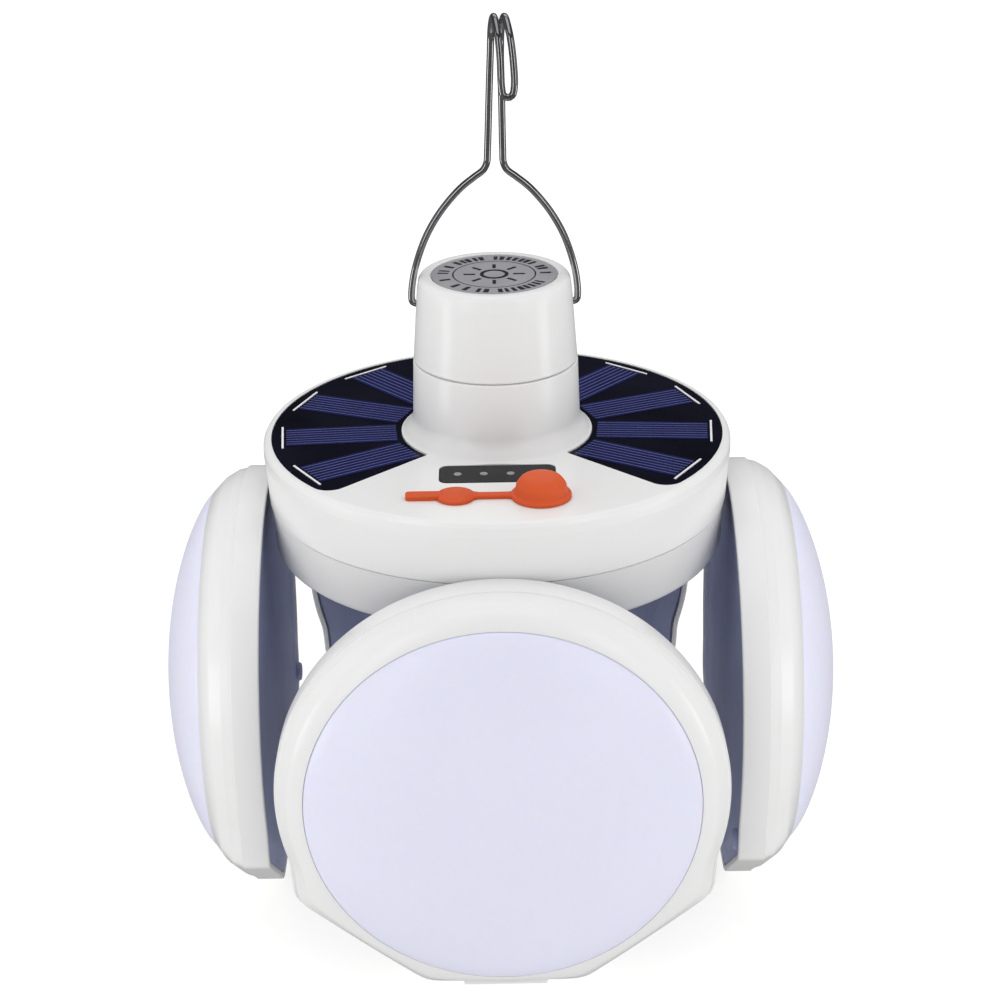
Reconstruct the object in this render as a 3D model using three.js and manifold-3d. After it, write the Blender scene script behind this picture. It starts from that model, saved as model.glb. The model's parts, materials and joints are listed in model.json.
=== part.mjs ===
// Solar hanging lantern: a solar disc on a bulb-shaped neck, over a pillar and a hub that
// carries four round lamp leaves on hinges. The leaves fold up against the disc's rim.
// Millimetres, +Z up. The origin is on the lamp axis, at the hub's flat underside.
import * as THREE from 'three';
import { mergeVertices } from 'three/addons/utils/BufferGeometryUtils.js';
import Module from 'manifold-3d';

const wasm = await Module();
wasm.setup();

// Levels along the lamp axis
const DECK_Z = 106;
const DECK_SKIN = 4;
const BAND_TOP_Z = DECK_Z - 14;
const BAND_BOTTOM_Z = DECK_Z - 25.2;
const SEAM_Z = DECK_Z + 17;
const CAP_TOP_Z = DECK_Z + 35.9;
const PIVOT_Z = DECK_Z + 29.4;
const HUB_ROOF_Z = 14;

// Radii of the turned pieces
const RIM_R = 51.6;
const BAND_R = 50.6;
const COLLAR_R = 20.5;
const NECK_R = 18.4;
const PILLAR_R = 24;
const HUB_R = 38.5;

// Solar panel: a C-shaped plate, open towards the front
const PANEL_R = 49.8;
const PANEL_INNER_R = 21.2;
const PANEL_GAP_DEG = 91;
const PANEL_CORNER_R = 4;
const PANEL_POCKET = 2.2;
const CELL_COUNT = 10;
const CELL_STEP_DEG = 27;
const CELL_WIDTH = 9.7;
const CELL_FROM_R = 22.2;
const CELL_TO_R = 46.5;

// Deck fittings at the front
const WINDOW = { x: 0, y: -25.7, width: 24.5, depth: 9.2, corner: 1.8, pocket: 1.2 };
const PORT = { x: 9, y: -38, recessR: 4.4, recess: 1.8, slotX: 9.8, slotY: 4.2 };
const ANCHOR = { x: -8.7, y: -38, radius: 4.1, tailFrom: -19.1, tailWidth: 3 };
const COVER_HINGE_X = -3.8;

// Leaves: round lamps whose flat backs face the pillar. Levels are distances from the lamp axis.
const LEAF_REAR = 51.2;
const LEAF_BACK = 51.5;
const LEAF_SEAM = 53;
const LEAF_STEP = 57.2;
const LEAF_FACE = 64.8;
const LEAF_Z = 46;
const LEAF_R = 48;
const LEAF_FOOT = 45.7;
const LENS_R = 41.2;
const LENS_FLANGE_R = 42.4;
const LENS_RISE = 11.3;
const LENS_FULLNESS = 1.5;
const LENS_UP = 1.2;
const LENS_WALL = 1.5;
const LEAF_POST_OUT = 32;
const KNOB = { u: -40.6, v: -21.9, radius: 2.35, rise: 1.3 };
const LED_BOARD_R = 38;
const LED_OUT = 25;

// Leaf hinges
const HINGE_OUT = 47.3;
const HINGE_Z = 7;
const PIN_R = 1;
const LUG_R = 3.1;
const LUG_FROM = 9.5;
const LUG_TO = 12.1;
const KNUCKLE_HALF = 9.2;
const KNUCKLE_R = 2.9;

// Battery, an 18650 cell standing in the neck
const CELL_R = 9.2;
const CELL_LENGTH = 65;
const CELL_BASE_Z = DECK_Z - 32.5;

// Main board, and the screws that join the housings and the hub
const BOARD_Z = DECK_Z - 11.7;
const BOARD_T = 1.6;
const BOARD_R = 40.8;
const BOARD_POST_OUT = 32;
const SCREW_DEGS = [30, 150, 270];
const SCREW_SHANK_R = 1.1;
const SCREW_PILOT_R = 1.3;
const SCREW_HOLE_R = 1.5;
const BOSS_OUT = 43.6;
const BOSS_R = 2.5;
const HEAD_SEAT_R = 2.9;
const HUB_SCREW_OUT = 17;

// Power button on the neck's rear
const BUTTON_Z = DECK_Z + 8;
const BUTTON_HOLE_R = 4.05;
const BUTTON_R = 3.75;

// Wire hanger
const WIRE_R = 0.75;
const HOOK_SHIFT = 2.5;
const HANGER_LEAN = 0.019;

const GAP = 0.3;
const ROUND = 32;
const LENS_SIDES = 28;

const WHITE = { color: 0xeeeeec, roughness: 0.28, metalness: 0 };
const GREY_BAND = { color: 0xcbcbcc, roughness: 0.35, metalness: 0 };
const BLUE_GREY = { color: 0x6a6b88, roughness: 0.4, metalness: 0 };
const MILKY = { color: 0xe6e6f5, roughness: 0.35, metalness: 0 };
const PANEL_BLACK = { color: 0x0b0b16, roughness: 0.12, metalness: 0 };
const CELL_BLUE = { color: 0x2f2f74, roughness: 0.25, metalness: 0.2 };
const SMOKE = { color: 0x45454b, roughness: 0.2, metalness: 0 };
const ORANGE = { color: 0xd9542b, roughness: 0.55, metalness: 0 };
const LABEL_GREY = { color: 0x8e8e96, roughness: 0.45, metalness: 0 };
const STEEL = { color: 0xb9bbbf, roughness: 0.2, metalness: 1 };
const BOARD_GREEN = { color: 0x1f6b3c, roughness: 0.5, metalness: 0 };
const BOARD_WHITE = { color: 0xf2f2ee, roughness: 0.5, metalness: 0 };
const BATTERY_WRAP = { color: 0x2c8f9e, roughness: 0.4, metalness: 0 };

const lantern = new THREE.Group();

const rad = THREE.MathUtils.degToRad;

function add(name, geometry, look, parent = lantern) {
  const mesh = new THREE.Mesh(geometry, new THREE.MeshStandardMaterial(look));
  mesh.name = name;
  parent.add(mesh);
  return mesh;
}

// A geometry with merged corners and no flattened triangles.
function closed(geometry) {
  const bare = geometry.clone();
  bare.deleteAttribute('normal');
  bare.deleteAttribute('uv');
  const merged = mergeVertices(bare, 1e-4);
  const old = merged.index.array;
  const kept = [];
  for (let i = 0; i < old.length; i += 3) {
    const [a, b, c] = [old[i], old[i + 1], old[i + 2]];
    if (a !== b && b !== c && c !== a) kept.push(a, b, c);
  }
  merged.setIndex(kept);
  return merged;
}

function solid(geometry) {
  const whole = closed(geometry);
  return new wasm.Manifold(new wasm.Mesh({
    numProp: 3,
    vertProperties: new Float32Array(whole.attributes.position.array),
    triVerts: new Uint32Array(whole.index.array),
  }));
}

function geometryOf(body) {
  const mesh = body.getMesh();
  const geometry = new THREE.BufferGeometry();
  geometry.setAttribute('position', new THREE.BufferAttribute(mesh.vertProperties, 3));
  geometry.setIndex(new THREE.BufferAttribute(mesh.triVerts, 1));
  geometry.computeVertexNormals();
  return geometry;
}

// One geometry with others joined to it and then others cut from it.
function shaped(base, { joins = [], cuts = [] }) {
  let body = solid(base);
  for (const part of joins) body = body.add(solid(part));
  for (const part of cuts) body = body.subtract(solid(part));
  return geometryOf(body);
}

function arc(cx, cy, radius, fromDeg, toDeg, steps) {
  return Array.from({ length: steps + 1 }, (_, i) => {
    const angle = rad(fromDeg + ((toDeg - fromDeg) * i) / steps);
    return [cx + radius * Math.cos(angle), cy + radius * Math.sin(angle)];
  });
}

// Points at one radius and several angles, in degrees.
function spots(radius, degs) {
  return degs.map((deg) => [radius * Math.cos(rad(deg)), radius * Math.sin(rad(deg))]);
}

// A solid of revolution about Z. The profile holds [radius, height] pairs, anticlockwise.
function turned(profile, segments = ROUND) {
  const points = profile.map(([r, h]) => new THREE.Vector2(r, h));
  const onAxis = profile[0][0] === 0;
  if (!onAxis) points.push(points[0].clone());
  return closed(new THREE.LatheGeometry(points, segments).rotateX(Math.PI / 2));
}

function tube(inner, outer, z0, z1, segments = ROUND) {
  return turned([[inner, z0], [outer, z0], [outer, z1], [inner, z1]], segments);
}

function rod(radius, z0, z1, x = 0, y = 0, segments = 16) {
  const profile = [[0, z0], [radius, z0], [radius, z1], [0, z1]];
  return turned(profile, segments).translate(x, y, 0);
}

function box(x0, x1, y0, y1, z0, z1) {
  const geometry = new THREE.BoxGeometry(x1 - x0, y1 - y0, z1 - z0);
  return geometry.translate((x0 + x1) / 2, (y0 + y1) / 2, (z0 + z1) / 2);
}

// An outline of [x, y] pairs drawn up from z0 to z1.
function prism(outline, z0, z1) {
  const shape = new THREE.Shape(outline.map(([x, y]) => new THREE.Vector2(x, y)));
  const geometry = new THREE.ExtrudeGeometry(shape, { depth: z1 - z0, bevelEnabled: false });
  return geometry.translate(0, 0, z0);
}

function roundedBox(cx, cy, width, depth, corner) {
  const [hx, hy] = [width / 2 - corner, depth / 2 - corner];
  return [[1, 1, 0], [-1, 1, 90], [-1, -1, 180], [1, -1, 270]].flatMap(([sx, sy, start]) =>
    arc(cx + sx * hx, cy + sy * hy, corner, start, start + 90, 4));
}

// Outlines of one point count stacked along Z, closed by a flat fan at each end.
function stacked(layers) {
  const count = layers[0].outline.length;
  const positions = [];
  const faces = [];
  for (const { z, outline } of layers) {
    for (const [x, y] of outline) positions.push(x, y, z);
  }
  for (let layer = 0; layer < layers.length - 1; layer += 1) {
    for (let i = 0; i < count; i += 1) {
      const a = layer * count + i;
      const b = layer * count + ((i + 1) % count);
      faces.push(a, b, b + count, a, b + count, a + count);
    }
  }
  const last = (layers.length - 1) * count;
  for (let i = 1; i < count - 1; i += 1) {
    faces.push(0, i + 1, i);
    faces.push(last, last + i, last + i + 1);
  }
  const geometry = new THREE.BufferGeometry();
  geometry.setAttribute('position', new THREE.Float32BufferAttribute(positions, 3));
  geometry.setIndex(faces);
  return geometry;
}

// A round wire along a path.
function wire(path, radius, sides, steps) {
  const corners = arc(0, 0, radius, 0, 360 - 360 / sides, sides - 1);
  const section = new THREE.Shape(corners.map(([x, y]) => new THREE.Vector2(x, y)));
  return new THREE.ExtrudeGeometry(section, { steps, extrudePath: path });
}

function cShape(inner, outer, gapDeg, corner) {
  const edge = -90 + gapDeg / 2;
  const far = 270 - gapDeg / 2;
  const turn = THREE.MathUtils.radToDeg(Math.asin(corner / (outer - corner)));
  const centre = (deg) => arc(0, 0, outer - corner, deg, deg, 1)[0];
  const near = centre(edge + turn);
  const end = centre(far - turn);
  return [
    ...arc(near[0], near[1], corner, edge - 90, edge + turn, 4),
    ...arc(0, 0, outer, edge + turn, far - turn, 30).slice(1, -1),
    ...arc(end[0], end[1], corner, far - turn, far + 90, 4),
    ...arc(0, 0, inner, far, edge, 22),
  ];
}

// Solar disc and neck ------------------------------------------------------------------

function topHousing() {
  const z = DECK_Z;
  const profile = [
    [48.9, BAND_TOP_Z], [50.8, BAND_TOP_Z], [51.1, z - 10], [51.4, z - 4.8],
    [RIM_R, z - 2.9], [51.4, z - 1.2], [50.6, z], [COLLAR_R, z],
    [19.1, z + 1.3], [NECK_R, z + 4], [17.95, SEAM_Z - GAP],
    [15.3, SEAM_Z - GAP], [15.3, SEAM_Z + 4], [13.8, SEAM_Z + 4], [13.8, SEAM_Z - 2],
    [16.2, SEAM_Z - 4], [16.2, z - DECK_SKIN], [48.5, z - DECK_SKIN], [48.9, z - 5],
  ];
  const bosses = spots(BOSS_OUT, SCREW_DEGS);
  const skinZ = z - DECK_SKIN + 0.4;
  const boardTop = BOARD_Z + BOARD_T;
  const posts = spots(BOARD_POST_OUT, [60, 180, 240]);
  const joins = [
    ...bosses.map(([x, y]) => rod(BOSS_R, BAND_BOTTOM_Z + 2.8, skinZ, x, y, 12)),
    ...posts.map(([x, y]) => rod(BOSS_R, boardTop + 0.05, skinZ, x, y, 12)),
  ];
  const cuts = bosses.map(([x, y]) => rod(SCREW_PILOT_R, BAND_BOTTOM_Z, BOARD_Z, x, y, 12));
  const pocket = cShape(PANEL_INNER_R - 0.15, PANEL_R + 0.15, PANEL_GAP_DEG - 0.3, PANEL_CORNER_R);
  cuts.push(prism(pocket, z - PANEL_POCKET, z + 1));
  const w = WINDOW;
  const windowPocket = roundedBox(w.x, w.y, w.width + 0.4, w.depth + 0.4, w.corner);
  cuts.push(prism(windowPocket, z - w.pocket, z + 3));
  cuts.push(rod(PORT.recessR, z - PORT.recess, z + 1, PORT.x, PORT.y, 24));
  const [sx, sy] = [PORT.slotX / 2, PORT.slotY / 2];
  cuts.push(box(PORT.x - sx, PORT.x + sx, PORT.y - sy, PORT.y + sy, z - 5, z + 1));
  const buttonHole = rod(BUTTON_HOLE_R, 12, NECK_R + 3, 0, 0, 20).rotateX(-Math.PI / 2);
  cuts.push(buttonHole.translate(0, 0, BUTTON_Z));
  return shaped(turned(profile), { joins, cuts });
}

function lowerHousing() {
  const profile = [
    [15, BAND_BOTTOM_Z], [48.7, BAND_BOTTOM_Z], [49.8, BAND_BOTTOM_Z + 0.8],
    [BAND_R, BAND_TOP_Z - GAP], [48.6, BAND_TOP_Z - GAP], [48.6, BAND_TOP_Z + 3.5],
    [47.2, BAND_TOP_Z + 3.5], [47.2, BAND_BOTTOM_Z + 2.4], [15, BAND_BOTTOM_Z + 2.4],
  ];
  const cuts = spots(BOSS_OUT, SCREW_DEGS).flatMap(([x, y]) => [
    rod(SCREW_HOLE_R, BAND_BOTTOM_Z - 1, BAND_BOTTOM_Z + 4, x, y, 12),
    rod(HEAD_SEAT_R, BAND_BOTTOM_Z - 1, BAND_BOTTOM_Z + 1.2, x, y, 12),
  ]);
  return shaped(turned(profile), { cuts });
}

// A slotted screw driven upwards, with the underside of its head at z.
function screw(x, y, z, headR, length) {
  const head = 1.4;
  const profile = [
    [0, z - head], [headR - 0.4, z - head], [headR, z - head + 0.5], [headR, z],
    [SCREW_SHANK_R, z], [SCREW_SHANK_R, z + length], [0, z + length],
  ];
  const slot = box(-1.5, 1.5, -0.3, 0.3, z - 2, z - 0.7);
  return shaped(turned(profile, 10), { cuts: [slot] }).translate(x, y, 0);
}

function neckCap() {
  const top = CAP_TOP_Z;
  const profile = [
    [0, top - 2.2], [14.8, top - 2.2], [15.1, top - 3], [15.6, SEAM_Z], [17.9, SEAM_Z],
    [17.8, SEAM_Z + 1], [16.7, top - 4], [16.4, top - 1.5], [15.7, top - 0.4], [14.8, top],
    [13.8, top], [13.8, top - 0.7], [0, top - 0.7],
  ];
  const hole = rod(WIRE_R + 0.15, -25, 25).rotateY(Math.PI / 2).translate(0, 0, PIVOT_Z);
  return shaped(turned(profile), { cuts: [hole] });
}

function buildDisc() {
  add('top_housing', topHousing(), WHITE);
  add('lower_housing', lowerHousing(), GREY_BAND);
  spots(BOSS_OUT, SCREW_DEGS).forEach(([x, y], i) => {
    add(`housing_screw_${i + 1}`, screw(x, y, BAND_BOTTOM_Z + 1.15, 2.6, 12), STEEL);
  });
  add('neck_cap', neckCap(), WHITE);
  add('cap_label', rod(13.5, CAP_TOP_Z - 0.68, CAP_TOP_Z - 0.2, 0, 0, LENS_SIDES), LABEL_GREY);

  const panel = cShape(PANEL_INNER_R, PANEL_R, PANEL_GAP_DEG, PANEL_CORNER_R);
  add('solar_panel', prism(panel, DECK_Z - PANEL_POCKET + 0.02, DECK_Z - 0.35), PANEL_BLACK);
  const firstDeg = 180 - ((CELL_COUNT - 1) * CELL_STEP_DEG) / 2;
  for (let k = 0; k < CELL_COUNT; k += 1) {
    const strip = box(
      -CELL_WIDTH / 2, CELL_WIDTH / 2, -CELL_TO_R, -CELL_FROM_R, DECK_Z - 0.33, DECK_Z - 0.03,
    );
    add(`solar_cell_${k + 1}`, strip.rotateZ(rad(firstDeg + k * CELL_STEP_DEG)), CELL_BLUE);
  }

  const w = WINDOW;
  const pane = roundedBox(w.x, w.y, w.width, w.depth, w.corner);
  add('indicator_window', prism(pane, DECK_Z - w.pocket + 0.02, DECK_Z - 0.02), SMOKE);
}

// Charging port and its silicone cover ----------------------------------------------------

function buildPort() {
  const { x, y } = PORT;
  const [bottom, top] = [BOARD_Z + BOARD_T + 0.05, DECK_Z - 2];
  const shellCut = prism(roundedBox(x, y, 8.4, 2.6, 1.2), bottom + 1.5, top + 1);
  const shell = prism(roundedBox(x, y, 9, 3.2, 1.5), bottom, top);
  const tongue = box(x - 3.2, x + 3.2, y - 0.35, y + 0.35, bottom + 1, top - 1);
  const socket = solid(shell).subtract(solid(shellCut)).add(solid(tongue));
  add('charge_port', geometryOf(socket), STEEL);

  const deck = DECK_Z + 0.03;
  const a = ANCHOR;
  const boss = rod(a.radius, deck, deck + 1.3, a.x, a.y, 24);
  const tail = box(
    a.tailFrom, a.x - 2, a.y - a.tailWidth / 2, a.y + a.tailWidth / 2, deck, deck + 1,
  );
  add('port_cover_anchor', shaped(boss, { joins: [tail] }), ORANGE);

  const dome = [
    [0, 0], [6.3, 0], [6.3, 0.9], [5.4, 1.1], [5.2, 2.6], [4.4, 4], [2.6, 4.8], [0, 5.1],
  ];
  const lid = turned(dome, 24).translate(x, y, deck);
  const plug = rod(3.6, deck - 1.2, deck + 0.5, x, y, 20);
  const strap = box(COVER_HINGE_X, x - 5, y - 1.1, y + 1.1, deck, deck + 0.9);
  add('port_cover', shaped(lid, { joins: [plug, strap] }), ORANGE);
}

// Electronics inside the disc and neck ----------------------------------------------------

function coilSpring(z0, z1, radius, wireR, turns) {
  const points = Array.from({ length: turns * 12 + 1 }, (_, i) => {
    const t = i / (turns * 12);
    const angle = t * turns * 2 * Math.PI;
    const r = radius - 1.5 * t;
    const height = z0 + wireR + (z1 - z0 - 2 * wireR) * t;
    return new THREE.Vector3(r * Math.cos(angle), r * Math.sin(angle), height);
  });
  return wire(new THREE.CatmullRomCurve3(points), wireR, 5, turns * 12);
}

function buildElectronics() {
  const boardTop = BOARD_Z + BOARD_T;
  add('main_board', tube(12, BOARD_R, BOARD_Z, boardTop), BOARD_GREEN);

  const base = CELL_BASE_Z;
  const holder = [
    [0, base - 5.5], [10.7, base - 5.5], [10.7, boardTop + 0.1], [14.5, boardTop + 0.1],
    [14.5, boardTop + 1.3], [10.7, boardTop + 1.3], [10.7, base + 58], [9.6, base + 58],
    [9.6, base - 4], [0, base - 4],
  ];
  add('battery_holder', turned(holder, 32), WHITE);
  const cell = [
    [0, base], [CELL_R, base], [CELL_R, base + CELL_LENGTH - 1.2], [2.8, base + CELL_LENGTH - 1.2],
    [2.8, base + CELL_LENGTH], [0, base + CELL_LENGTH],
  ];
  add('battery_cell', turned(cell, 32), BATTERY_WRAP);
  add('battery_spring', coilSpring(base - 3.9, base - 0.1, 5.5, 0.4, 3), STEEL);
  add('battery_contact', rod(5, base + CELL_LENGTH + 0.1, base + CELL_LENGTH + 0.6), STEEL);

  const switchBoard = box(-5, 5, 10.9, 11.6, BUTTON_Z - 5, BUTTON_Z + 5);
  const body = box(-3, 3, 11.5, 12.5, BUTTON_Z - 3, BUTTON_Z + 3);
  const plunger = rod(1.6, 12.4, 12.8, 0, 0, 12).rotateX(-Math.PI / 2).translate(0, 0, BUTTON_Z);
  add('power_switch', shaped(switchBoard, { joins: [body, plunger] }), BOARD_GREEN);
  const button = [
    [0, 13.8], [4.7, 13.8], [4.7, 14.7], [BUTTON_R, 14.7], [BUTTON_R, 18.5], [3.2, 19.1],
    [0, 19.3],
  ];
  add('power_button', turned(button, 20).rotateX(-Math.PI / 2).translate(0, 0, BUTTON_Z), SMOKE);
}

// Pillar and hub --------------------------------------------------------------------------

function lug(side) {
  const outline = [
    ...arc(HINGE_OUT, HINGE_Z, LUG_R, -90, 90, 8), [36.5, HINGE_Z + LUG_R], [36.5, HINGE_Z - LUG_R],
  ];
  // The outline is drawn outwards and up, then extruded sideways.
  const bar = prism(outline, LUG_FROM, LUG_TO).rotateX(Math.PI / 2).rotateZ(-Math.PI / 2);
  if (side < 0) bar.translate(LUG_FROM + LUG_TO, 0, 0);
  return bar;
}

function pinRod(radius, half) {
  return rod(radius, -half, half, 0, 0, 12).rotateY(Math.PI / 2).translate(0, -HINGE_OUT, HINGE_Z);
}

const QUARTERS = [
  { name: 'front', deg: 0 }, { name: 'right', deg: 90 }, { name: 'rear', deg: 180 },
  { name: 'left', deg: 270 },
];

function hubHousing() {
  const roof = HUB_ROOF_Z;
  const profile = [
    [5, roof - 2], [35.2, roof - 2], [36.5, roof - 3.5], [36.5, 1.6], [HUB_R, 1.6],
    [HUB_R, roof - 2.5], [36.5, roof], [5, roof],
  ];
  const joins = [];
  const cuts = [];
  for (const { deg } of QUARTERS) {
    for (const side of [-1, 1]) joins.push(lug(side).rotateZ(rad(deg)));
    cuts.push(pinRod(PIN_R + 0.05, LUG_TO + 1).rotateZ(rad(deg)));
  }
  for (const [x, y] of spots(HUB_SCREW_OUT, SCREW_DEGS)) {
    cuts.push(rod(SCREW_HOLE_R, roof - 4, roof + 1, x, y, 12));
  }
  return shaped(turned(profile), { joins, cuts });
}

function buildPillarAndHub() {
  const roof = HUB_ROOF_Z;
  const column = [
    [5, roof + 0.05], [PILLAR_R, roof + 0.05], [PILLAR_R, BAND_BOTTOM_Z - 0.05],
    [14.6, BAND_BOTTOM_Z - 0.05], [14.6, BAND_BOTTOM_Z - 2], [PILLAR_R - 2, BAND_BOTTOM_Z - 2],
    [PILLAR_R - 2, roof + 6], [5, roof + 6],
  ];
  const screwSpots = spots(HUB_SCREW_OUT, SCREW_DEGS);
  const pilots = screwSpots.map(([x, y]) => rod(SCREW_PILOT_R, roof - 1, roof + 5, x, y, 12));
  add('pillar', shaped(turned(column), { cuts: pilots }), WHITE);
  add('hub_housing', hubHousing(), WHITE);
  screwSpots.forEach(([x, y], i) => {
    add(`hub_screw_${i + 1}`, screw(x, y, roof - 2.05, 2.5, 6.5), STEEL);
  });

  const harness = new THREE.CatmullRomCurve3([
    new THREE.Vector3(0, 0, roof - 3.5), new THREE.Vector3(0, 0, 30),
    new THREE.Vector3(12.5, 0, 55), new THREE.Vector3(12.7, 0, 66),
    new THREE.Vector3(12.7, 0, BOARD_Z - 0.4),
  ], false, 'centripetal');
  add('wire_harness', wire(harness, 1.6, 6, 14), SMOKE);

  add('hub_led_board', tube(3, 33, 6.4, 7.6, 40), BOARD_WHITE);
  const lens = [
    [0, 0.6], [16, 1.1], [31.6, 2.6], [31.6, 3.2], [35.6, 3.2], [35.6, 4.6], [30.4, 4.6],
    [30.4, 3.9], [16, 2.4], [0, 1.9],
  ];
  add('hub_diffuser', turned(lens, LENS_SIDES), MILKY);
  const ring = [
    [32, 0], [37.4, 0], [HUB_R, 1], [HUB_R, 1.55], [36.2, 1.55], [36.2, 3.1], [32, 3.1],
  ];
  add('hub_bezel', turned(ring), WHITE);
}

// Leaves ----------------------------------------------------------------------------------

// Outline of a leaf about its middle: round above, with upright sides, chamfered corners and a
// flat foot below. A round share of 1 turns it into a circle just outside the lens.
function leafOutline(inset, round) {
  const side = [[16.8, -LEAF_FOOT], [18.6, -44.8], [43.9, -25.3], [44.8, -24.2], [45.3, -15.8]];
  const whole = [
    ...side, ...arc(0, 0, LEAF_R, -18, 198, 20), ...side.map(([u, v]) => [-u, v]).reverse(),
  ];
  const scale = (LEAF_R - inset) / LEAF_R;
  return whole.map(([u, v]) => {
    const toRing = (round * (LENS_R + 1)) / Math.hypot(u, v - LENS_UP);
    const kept = scale * (1 - round);
    return [u * (kept + toRing), v * kept + (v - LENS_UP) * toRing + LENS_UP * round];
  });
}

// Leaf geometry is drawn with its lens axis along +Z, then stood up facing the front.
function stand(geometry) {
  return geometry.rotateX(Math.PI / 2).translate(0, 0, LEAF_Z);
}

function leafLayer(z, inset, round = 0) {
  return { z, outline: leafOutline(inset, round) };
}

function leafBezel() {
  const body = stacked([
    leafLayer(LEAF_REAR, 0), leafLayer(LEAF_STEP, 0), leafLayer(LEAF_STEP + 0.1, 0.4),
    leafLayer(LEAF_FACE - 6.1, 0.6, 0.05), leafLayer(LEAF_FACE - 3.2, 0.6, 0.35),
    leafLayer(LEAF_FACE - 1.1, 0.6, 0.75), leafLayer(LEAF_FACE, 0.6, 1),
  ]);
  const tab = box(-9, 9, -LEAF_FOOT + 1.1, -LENS_R - 0.4, LEAF_FACE - 5.5, LEAF_FACE - 3.3);
  const rebate = stacked([leafLayer(LEAF_REAR - 1, 1.3), leafLayer(LEAF_SEAM, 1.3)]);
  const cavity = stacked([leafLayer(LEAF_REAR, 2.8), leafLayer(LEAF_STEP, 2.8)]);
  const lensSeat = rod(LENS_FLANGE_R + 0.2, LEAF_SEAM, LEAF_FACE - 1.9, 0, LENS_UP, LENS_SIDES);
  const opening = rod(LENS_R + 0.3, LEAF_FACE - 2.5, LEAF_FACE + 1, 0, LENS_UP, LENS_SIDES);
  return stand(shaped(body, { joins: [tab], cuts: [rebate, cavity, lensSeat, opening] }));
}

// A shallow dome, steeper at its edge than a spherical cap, on a flange behind the bezel.
function leafDiffuser() {
  const dome = (radius, rise, steps) => arc(0, 0, 1, 90, 0, steps).map(([x, y]) =>
    [x * radius, LEAF_FACE + y ** LENS_FULLNESS * rise]);
  const innerR = LENS_R - LENS_WALL;
  const inner = dome(innerR, LENS_RISE - LENS_WALL, 5);
  const outer = dome(LENS_R, LENS_RISE, 6).reverse();
  inner[0][0] = 0;
  outer[outer.length - 1][0] = 0;
  const lip = LEAF_FACE - 2;
  const profile = [
    ...inner, [innerR, lip - LENS_WALL], [LENS_FLANGE_R, lip - LENS_WALL], [LENS_FLANGE_R, lip],
    [LENS_R, lip], ...outer,
  ];
  return stand(turned(profile, LENS_SIDES)).translate(0, 0, LENS_UP);
}

// The back lies in a rebate of the bezel, and a low wall on it enters the bezel's cavity.
function leafBack() {
  const [from, top] = [LEAF_BACK, LEAF_SEAM - 0.1];
  const plate = stacked([leafLayer(from, 2), leafLayer(from + 0.4, 1.6), leafLayer(top, 1.6)]);
  const wall = stacked([leafLayer(top - 0.2, 3.1), leafLayer(top + 1.2, 3.1)]);
  const hollow = stacked([leafLayer(top, 4.3), leafLayer(top + 2, 4.3)]);
  const shell = shaped(plate, { joins: [wall], cuts: [hollow] });
  const posts = spots(LEAF_POST_OUT, SCREW_DEGS).map(([u, v]) => rod(2, top - 0.3, top + 1.5, u, v, 8));
  const knob = rod(KNOB.radius, from - KNOB.rise, from + 1, KNOB.u, KNOB.v, 12);
  const upright = stand(shaped(shell, { joins: [...posts, knob] }));
  const knuckle = [
    ...arc(HINGE_OUT, HINGE_Z, KNUCKLE_R, 90, 270, 8),
    [from + 0.6, HINGE_Z - KNUCKLE_R], [from + 0.6, HINGE_Z + KNUCKLE_R],
  ];
  const bar = prism(knuckle, -KNUCKLE_HALF, KNUCKLE_HALF);
  bar.rotateX(Math.PI / 2).rotateZ(-Math.PI / 2);
  return shaped(upright, { joins: [bar], cuts: [pinRod(PIN_R + 0.08, LUG_TO + 1)] });
}

function leafLedBoard() {
  const z = LEAF_BACK + 3.1;
  const joins = spots(LED_OUT, [0, 60, 120, 180, 240, 300]).map(([u, v]) =>
    box(u - 1.75, u + 1.75, v - 1.4, v + 1.4, z + 1, z + 1.8));
  return stand(shaped(rod(LED_BOARD_R, z, z + 1.2, 0, 0, LENS_SIDES), { joins }));
}

function buildLeaves() {
  for (const { name, deg } of QUARTERS) {
    const leaf = new THREE.Group();
    leaf.rotation.z = rad(deg);
    lantern.add(leaf);
    add(`leaf_${name}_bezel`, leafBezel(), WHITE, leaf);
    add(`leaf_${name}_diffuser`, leafDiffuser(), MILKY, leaf);
    add(`leaf_${name}_back`, leafBack(), BLUE_GREY, leaf);
    add(`leaf_${name}_led_board`, leafLedBoard(), BOARD_WHITE, leaf);
    add(`hinge_pin_${name}`, pinRod(PIN_R, LUG_TO), STEEL, leaf);
  }
}

// Wire hanger -----------------------------------------------------------------------------

// The wire leans a little to one side as it rises from its pivot.
function leaning([x, y, z]) {
  return [x + HANGER_LEAN * (z - PIVOT_Z), y, z];
}

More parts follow.
